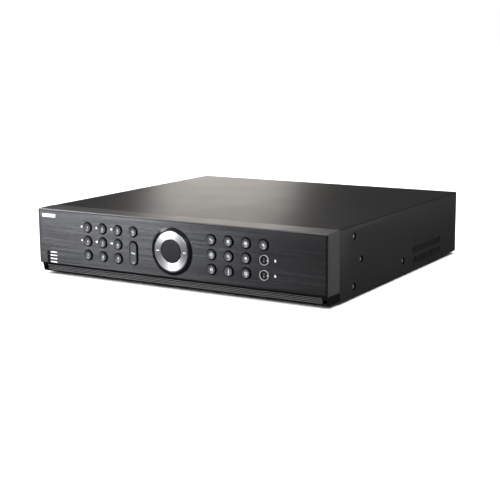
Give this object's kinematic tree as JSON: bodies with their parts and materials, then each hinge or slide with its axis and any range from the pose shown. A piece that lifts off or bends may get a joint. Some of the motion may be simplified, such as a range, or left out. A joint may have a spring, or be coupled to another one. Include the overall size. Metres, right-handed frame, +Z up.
{
  "type": "dvr recorder",
  "caption": "Rack-width digital video recorder with a brushed front, number and function keys, a four-way ring, side vents and a rear wall of video, audio, data and power sockets.",
  "frame": {"origin": "on the surface the recorder stands on, under the middle of its overall box (front of the ring to the ends of the rear coaxial sockets)", "axes": "+X to the right seen from the front, +Y from the front plate to the rear sockets, +Z up"},
  "size_m": [0.43, 0.4132, 0.089],
  "materials": {
    "case_steel": "fine-textured warm black powder coat, satin",
    "bezel_plastic": "moulded black plastic, fine spark texture, satin",
    "brushed_plate": "dark anodised aluminium with a horizontal hairline brush",
    "key_plastic": "dark grey dished caps, soft satin with pale legends",
    "ring_metal": "silver with a circular brush",
    "enter_plastic": "charcoal matte cap",
    "light_guide": "smoky clear light guide",
    "foot_rubber": "matt black rubber",
    "circuit_board": "green solder-masked board with black and metal parts",
    "cable_grey": "grey ribbon cable",
    "bare_steel": "bright zinc-plated sheet",
    "cast_aluminium": "cast and milled aluminium",
    "socket_metal": "nickel-plated socket shells",
    "socket_plastic": "black moulded socket and fan plastic",
    "terminal_green": "green terminal strip",
    "rocker_plastic": "glossy black rocker"
  },
  "bodies": {
    "case": {"top_cover": "case_steel", "chassis_base": "case_steel", "front_bezel": "bezel_plastic", "front_plate": "brushed_plate", "chin_strip": "bezel_plastic", "ring_surround": "bezel_plastic", "status_light_guide": "light_guide", "keypad_board": "circuit_board", "ribbon_cable": "cable_grey", "drive_bracket": "bare_steel", "hard_drive_1": "cast_aluminium", "hard_drive_2": "cast_aluminium", "mainboard": "circuit_board", "heatsink": "cast_aluminium", "video_sockets": "socket_metal", "monitor_sockets": "socket_metal", "audio_sockets": "socket_plastic", "display_socket": "socket_metal", "serial_socket": "socket_metal", "digital_display_socket": "socket_metal", "network_socket": "socket_metal", "usb_sockets": "socket_metal", "terminal_strip": "terminal_green", "fan_frame": "socket_plastic", "power_supply_board": "circuit_board", "power_supply_cage": "bare_steel", "mains_inlet": "socket_plastic", "switch_frame": "socket_plastic", "foot_front_left": "foot_rubber", "foot_front_right": "foot_rubber", "foot_rear_left": "foot_rubber", "foot_rear_right": "foot_rubber"},
    "key_1": {"key_1": "key_plastic"},
    "key_2": {"key_2": "key_plastic"},
    "key_3": {"key_3": "key_plastic"},
    "key_4": {"key_4": "key_plastic"},
    "key_5": {"key_5": "key_plastic"},
    "key_6": {"key_6": "key_plastic"},
    "key_7": {"key_7": "key_plastic"},
    "key_8": {"key_8": "key_plastic"},
    "key_9": {"key_9": "key_plastic"},
    "key_0": {"key_0": "key_plastic"},
    "function_key_1": {"function_key_1": "key_plastic"},
    "function_key_2": {"function_key_2": "key_plastic"},
    "function_key_3": {"function_key_3": "key_plastic"},
    "function_key_4": {"function_key_4": "key_plastic"},
    "function_key_5": {"function_key_5": "key_plastic"},
    "function_key_6": {"function_key_6": "key_plastic"},
    "function_key_7": {"function_key_7": "key_plastic"},
    "function_key_8": {"function_key_8": "key_plastic"},
    "function_key_9": {"function_key_9": "key_plastic"},
    "function_key_10": {"function_key_10": "key_plastic"},
    "ring_key_upper": {"ring_key_upper": "key_plastic"},
    "ring_key_lower": {"ring_key_lower": "key_plastic"},
    "page_key": {"page_key": "key_plastic"},
    "enter_key": {"enter_key": "enter_plastic"},
    "ring_pivot": {"ring_pivot": "bezel_plastic"},
    "navigation_ring": {"navigation_ring": "ring_metal"},
    "fan_rotor": {"fan_rotor": "socket_plastic"},
    "power_rocker": {"power_rocker": "rocker_plastic"}
  },
  "joints": [
    {"name": "key_1_press", "type": "slide", "parent": "case", "child": "key_1", "axis": [0, 1, 0], "range_m": [0, 0.001], "stiffness_N_per_m": 600},
    {"name": "key_2_press", "type": "slide", "parent": "case", "child": "key_2", "axis": [0, 1, 0], "range_m": [0, 0.001], "stiffness_N_per_m": 600},
    {"name": "key_3_press", "type": "slide", "parent": "case", "child": "key_3", "axis": [0, 1, 0], "range_m": [0, 0.001], "stiffness_N_per_m": 600},
    {"name": "key_4_press", "type": "slide", "parent": "case", "child": "key_4", "axis": [0, 1, 0], "range_m": [0, 0.001], "stiffness_N_per_m": 600},
    {"name": "key_5_press", "type": "slide", "parent": "case", "child": "key_5", "axis": [0, 1, 0], "range_m": [0, 0.001], "stiffness_N_per_m": 600},
    {"name": "key_6_press", "type": "slide", "parent": "case", "child": "key_6", "axis": [0, 1, 0], "range_m": [0, 0.001], "stiffness_N_per_m": 600},
    {"name": "key_7_press", "type": "slide", "parent": "case", "child": "key_7", "axis": [0, 1, 0], "range_m": [0, 0.001], "stiffness_N_per_m": 600},
    {"name": "key_8_press", "type": "slide", "parent": "case", "child": "key_8", "axis": [0, 1, 0], "range_m": [0, 0.001], "stiffness_N_per_m": 600},
    {"name": "key_9_press", "type": "slide", "parent": "case", "child": "key_9", "axis": [0, 1, 0], "range_m": [0, 0.001], "stiffness_N_per_m": 600},
    {"name": "key_0_press", "type": "slide", "parent": "case", "child": "key_0", "axis": [0, 1, 0], "range_m": [0, 0.001], "stiffness_N_per_m": 600},
    {"name": "function_key_1_press", "type": "slide", "parent": "case", "child": "function_key_1", "axis": [0, 1, 0], "range_m": [0, 0.001], "stiffness_N_per_m": 600},
    {"name": "function_key_2_press", "type": "slide", "parent": "case", "child": "function_key_2", "axis": [0, 1, 0], "range_m": [0, 0.001], "stiffness_N_per_m": 600},
    {"name": "function_key_3_press", "type": "slide", "parent": "case", "child": "function_key_3", "axis": [0, 1, 0], "range_m": [0, 0.001], "stiffness_N_per_m": 600},
    {"name": "function_key_4_press", "type": "slide", "parent": "case", "child": "function_key_4", "axis": [0, 1, 0], "range_m": [0, 0.001], "stiffness_N_per_m": 600},
    {"name": "function_key_5_press", "type": "slide", "parent": "case", "child": "function_key_5", "axis": [0, 1, 0], "range_m": [0, 0.001], "stiffness_N_per_m": 600},
    {"name": "function_key_6_press", "type": "slide", "parent": "case", "child": "function_key_6", "axis": [0, 1, 0], "range_m": [0, 0.001], "stiffness_N_per_m": 600},
    {"name": "function_key_7_press", "type": "slide", "parent": "case", "child": "function_key_7", "axis": [0, 1, 0], "range_m": [0, 0.001], "stiffness_N_per_m": 600},
    {"name": "function_key_8_press", "type": "slide", "parent": "case", "child": "function_key_8", "axis": [0, 1, 0], "range_m": [0, 0.001], "stiffness_N_per_m": 600},
    {"name": "function_key_9_press", "type": "slide", "parent": "case", "child": "function_key_9", "axis": [0, 1, 0], "range_m": [0, 0.001], "stiffness_N_per_m": 600},
    {"name": "function_key_10_press", "type": "slide", "parent": "case", "child": "function_key_10", "axis": [0, 1, 0], "range_m": [0, 0.001], "stiffness_N_per_m": 600},
    {"name": "ring_key_upper_press", "type": "slide", "parent": "case", "child": "ring_key_upper", "axis": [0, 1, 0], "range_m": [0, 0.001], "stiffness_N_per_m": 600},
    {"name": "ring_key_lower_press", "type": "slide", "parent": "case", "child": "ring_key_lower", "axis": [0, 1, 0], "range_m": [0, 0.001], "stiffness_N_per_m": 600},
    {"name": "page_key_press", "type": "slide", "parent": "case", "child": "page_key", "axis": [0, 1, 0], "range_m": [0, 0.001], "stiffness_N_per_m": 600},
    {"name": "enter_key_press", "type": "slide", "parent": "case", "child": "enter_key", "axis": [0, 1, 0], "range_m": [0, 0.001], "stiffness_N_per_m": 600},
    {"name": "ring_up_down", "type": "hinge", "parent": "case", "child": "ring_pivot", "pos_m": [0, -0.20025, 0.0496], "axis": [1, 0, 0], "range_deg": [-2, 2], "stiffness_Nm_per_rad": 1},
    {"name": "ring_left_right", "type": "hinge", "parent": "ring_pivot", "child": "navigation_ring", "pos_m": [0, -0.20025, 0.0496], "axis": [0, 0, 1], "range_deg": [-2, 2], "stiffness_Nm_per_rad": 1},
    {"name": "fan_spin", "type": "hinge", "parent": "case", "child": "fan_rotor", "pos_m": [0.083, 0.18355, 0.0465], "axis": [0, 1, 0], "continuous": true},
    {"name": "power_switch", "type": "hinge", "parent": "case", "child": "power_rocker", "pos_m": [0.143, 0.19575, 0.048], "axis": [1, 0, 0], "range_deg": [0, 20]}
  ]
}
